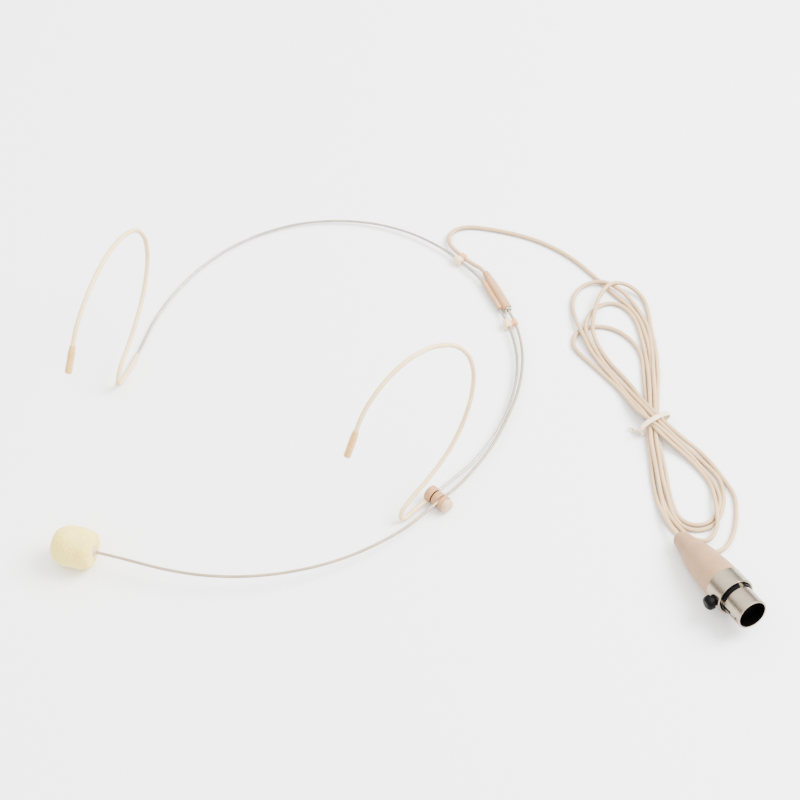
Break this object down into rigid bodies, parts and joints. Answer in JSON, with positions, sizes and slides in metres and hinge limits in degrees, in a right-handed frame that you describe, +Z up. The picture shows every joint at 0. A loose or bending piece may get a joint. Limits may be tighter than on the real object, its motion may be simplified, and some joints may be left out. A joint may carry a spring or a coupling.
{
  "type": "headset microphone",
  "caption": "Thin wire neckband with silicone ear hooks, swivelling boom with foam windscreen, side junction sleeve, tied cable hank and miniature locking plug",
  "frame": {"origin": "centre of the headset's bounding box at the surface it lies on, the loose cable and its plug left out", "axes": "+X to the boom side, which is the wearer's left; +Y to the nape; +Z up from the surface, towards the tops of the ear hooks"},
  "size_m": [0.1989, 0.1712, 0.0539],
  "materials": {
    "wire_steel": "drawn stainless wire, bright",
    "silicone_tube": "cream silicone tube, satin",
    "ferrule_gold": "pale gold-beige lacquer",
    "beige_moulding": "beige moulded plastic",
    "black_plastic": "black moulded plastic",
    "boom_coating": "grey-beige coated tube",
    "capsule_metal": "beige lacquered metal",
    "foam": "open-cell foam, pale cream",
    "sleeve_moulding": "beige moulded plastic, satin",
    "nickel": "satin nickel plating",
    "clip_moulding": "cream moulded plastic",
    "cable_jacket": "pale pink-beige jacket, satin",
    "tie_plastic": "cream plastic band",
    "contact_gold": "gold-plated contacts",
    "boot_rubber": "beige-brown moulded boot, matte"
  },
  "bodies": {
    "frame": {"frame_wire": "wire_steel", "right_ear_tube": "silicone_tube", "left_ear_tube": "silicone_tube", "right_tip_ferrule": "ferrule_gold", "left_tip_ferrule": "ferrule_gold", "clamp_block": "beige_moulding", "clamp_washer": "black_plastic", "clamp_screw": "wire_steel", "boom_tail": "boom_coating", "junction_sleeve": "sleeve_moulding", "sleeve_ring": "nickel", "rear_clip": "clip_moulding", "side_clip": "clip_moulding", "cable_lead": "cable_jacket", "cable_hank": "cable_jacket", "hank_tie": "tie_plastic", "cable_tail": "cable_jacket", "plug_barrel": "nickel", "plug_shell": "nickel", "plug_black_ring": "black_plastic", "plug_insert": "black_plastic", "plug_contacts": "contact_gold", "plug_boot": "boot_rubber", "cable_chuck": "tie_plastic"},
    "boom": {"swivel_hub": "beige_moulding", "clamp_jaw": "beige_moulding", "boom_front": "boom_coating", "capsule_housing": "capsule_metal", "capsule_grille": "capsule_metal", "microphone_element": "black_plastic"},
    "knob": {"clamp_knob": "beige_moulding"},
    "foam": {"windscreen": "foam"},
    "latch": {"latch_button": "black_plastic", "latch_hook": "wire_steel"}
  },
  "joints": [
    {"name": "boom_swivel", "type": "hinge", "parent": "frame", "child": "boom", "pos_m": [0.04817, -0.00561, 0.00248], "axis": [-0.968, 0.251, 0], "range_deg": [0, 35]},
    {"name": "knob_turn", "type": "hinge", "parent": "boom", "child": "knob", "pos_m": [0.04817, -0.00561, 0.00248], "axis": [0.968, -0.251, 0], "range_deg": [-180, 180]},
    {"name": "foam_pull_off", "type": "slide", "parent": "boom", "child": "foam", "axis": [-0.9688, -0.2477, 0], "range_m": [0, 0.012]},
    {"name": "latch_press", "type": "slide", "parent": "frame", "child": "latch", "axis": [0.4978, 0.8666, 0.0345], "range_m": [0, 0.0006], "stiffness_N_per_m": 300}
  ]
}
